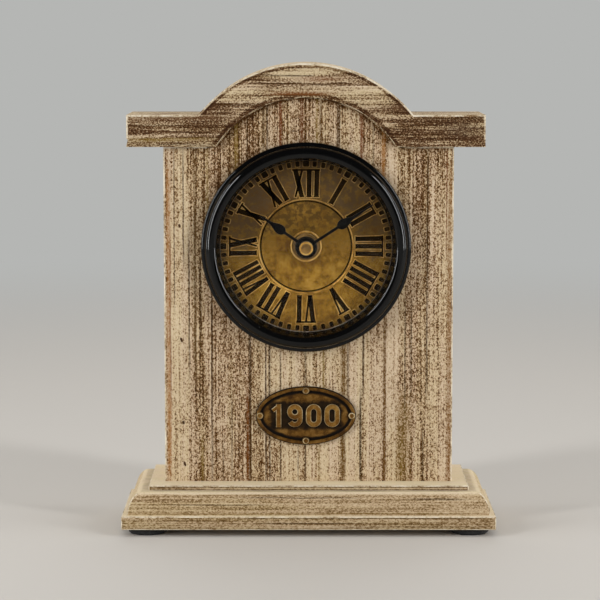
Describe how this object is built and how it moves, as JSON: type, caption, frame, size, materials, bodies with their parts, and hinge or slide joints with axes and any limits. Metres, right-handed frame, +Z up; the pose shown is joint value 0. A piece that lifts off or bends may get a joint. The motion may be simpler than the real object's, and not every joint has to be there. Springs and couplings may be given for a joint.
{
  "type": "table clock",
  "caption": "Arched wooden table clock, whitewashed, with a round glazed brass dial, spade hands, a gloss black bezel and an oval number plate.",
  "frame": {"origin": "on the table, under the middle of the plinth", "axes": "+Z up, the dial faces -Y, +X to the right of someone who reads the dial"},
  "size_m": [0.1644, 0.062, 0.2065],
  "materials": {
    "whitewashed_wood": "pale whitewash rubbed back to brown grain",
    "worn_brown_wood": "brown wood with remains of whitewash",
    "plain_board": "bare thin board",
    "black_rubber": "matt",
    "zinc_steel": "zinc plated",
    "aged_brass": "aged, dark in the recesses",
    "black_enamel": "gloss black",
    "black_hand": "satin black paint",
    "clear_glass": "clear",
    "black_plastic": "moulded black",
    "white_nylon": "moulded white",
    "grey_magnet": "sintered magnet",
    "copper_wire": "enamelled copper wire",
    "green_board": "green resist",
    "battery_jacket": "printed jacket, plain"
  },
  "bodies": {
    "case": {"plinth": "whitewashed_wood", "front_panel": "whitewashed_wood", "side_panel_left": "whitewashed_wood", "side_panel_right": "whitewashed_wood", "crown": "worn_brown_wood", "back_panel": "plain_board", "crown_dowels": "plain_board", "foot_front_left": "black_rubber", "foot_front_right": "black_rubber", "foot_rear_left": "black_rubber", "foot_rear_right": "black_rubber", "cushion_washer": "black_rubber", "plinth_screws": "zinc_steel", "back_panel_screws": "zinc_steel", "bezel_clips": "zinc_steel", "clip_screws": "zinc_steel", "battery_contact_positive": "zinc_steel", "battery_contact_negative": "zinc_steel", "stator": "zinc_steel", "quartz_crystal": "zinc_steel", "year_plate": "aged_brass", "plate_pins": "aged_brass", "dial": "aged_brass", "dial_washer": "aged_brass", "mounting_nut": "aged_brass", "bezel": "black_enamel", "spacer_ring": "black_enamel", "lens": "clear_glass", "dial_backing": "black_plastic", "movement_housing": "black_plastic", "movement_cover": "black_plastic", "middle_plate": "white_nylon", "coil": "copper_wire", "circuit_board": "green_board"},
    "minute_shaft": {"minute_arbor": "white_nylon", "minute_hand": "black_hand", "hand_cap": "aged_brass"},
    "hour_shaft": {"hour_wheel": "white_nylon", "hour_hand": "black_hand"},
    "motion_wheel": {"minute_wheel": "white_nylon"},
    "setting_stem": {"setting_knob": "black_plastic"},
    "motor_rotor": {"rotor": "grey_magnet"},
    "fifth_arbor": {"fifth_wheel": "white_nylon"},
    "seconds_arbor": {"fourth_wheel": "white_nylon"},
    "third_arbor": {"third_wheel": "white_nylon"},
    "centre_drive": {"centre_wheel": "white_nylon"},
    "battery_cell": {"battery": "battery_jacket"}
  },
  "joints": [
    {"name": "minute_hand_turn", "type": "hinge", "parent": "case", "child": "minute_shaft", "pos_m": [-0.0011, 0, 0.1256], "axis": [0, 1, 0], "continuous": true},
    {"name": "hour_hand_turn", "type": "hinge", "parent": "case", "child": "hour_shaft", "pos_m": [-0.0011, 0, 0.1256], "axis": [0, 1, 0], "continuous": true},
    {"name": "motion_wheel_turn", "type": "hinge", "parent": "case", "child": "motion_wheel", "pos_m": [-0.0011, 0, 0.1352], "axis": [0, 1, 0], "continuous": true},
    {"name": "setting_knob_turn", "type": "hinge", "parent": "case", "child": "setting_stem", "pos_m": [0.0097, 0, 0.1352], "axis": [0, 1, 0], "continuous": true},
    {"name": "rotor_turn", "type": "hinge", "parent": "case", "child": "motor_rotor", "pos_m": [-0.0126, 0, 0.13224], "axis": [0, 1, 0], "continuous": true},
    {"name": "fifth_wheel_turn", "type": "hinge", "parent": "case", "child": "fifth_arbor", "pos_m": [-0.00775, 0, 0.12944], "axis": [0, 1, 0], "continuous": true},
    {"name": "seconds_wheel_turn", "type": "hinge", "parent": "case", "child": "seconds_arbor", "pos_m": [-0.0011, 0, 0.1256], "axis": [0, 1, 0], "continuous": true},
    {"name": "third_wheel_turn", "type": "hinge", "parent": "case", "child": "third_arbor", "pos_m": [0.00638, 0, 0.1256], "axis": [0, 1, 0], "continuous": true},
    {"name": "centre_wheel_turn", "type": "hinge", "parent": "case", "child": "centre_drive", "pos_m": [-0.0011, 0, 0.1256], "axis": [0, 1, 0], "continuous": true},
    {"name": "battery_removal", "type": "slide", "parent": "case", "child": "battery_cell", "axis": [0, 1, 0], "range_m": [0, 0.045]}
  ],
  "couplings": [
    {"joint": "hour_hand_turn", "follows": "minute_hand_turn", "ratio": 0.083333},
    {"joint": "motion_wheel_turn", "follows": "minute_hand_turn", "ratio": -0.33333},
    {"joint": "setting_knob_turn", "follows": "minute_hand_turn", "ratio": 0.66667},
    {"joint": "fifth_wheel_turn", "follows": "rotor_turn", "ratio": -0.16667},
    {"joint": "seconds_wheel_turn", "follows": "rotor_turn", "ratio": 0.033333},
    {"joint": "third_wheel_turn", "follows": "rotor_turn", "ratio": -0.0041667},
    {"joint": "centre_wheel_turn", "follows": "rotor_turn", "ratio": 0.00055556}
  ]
}
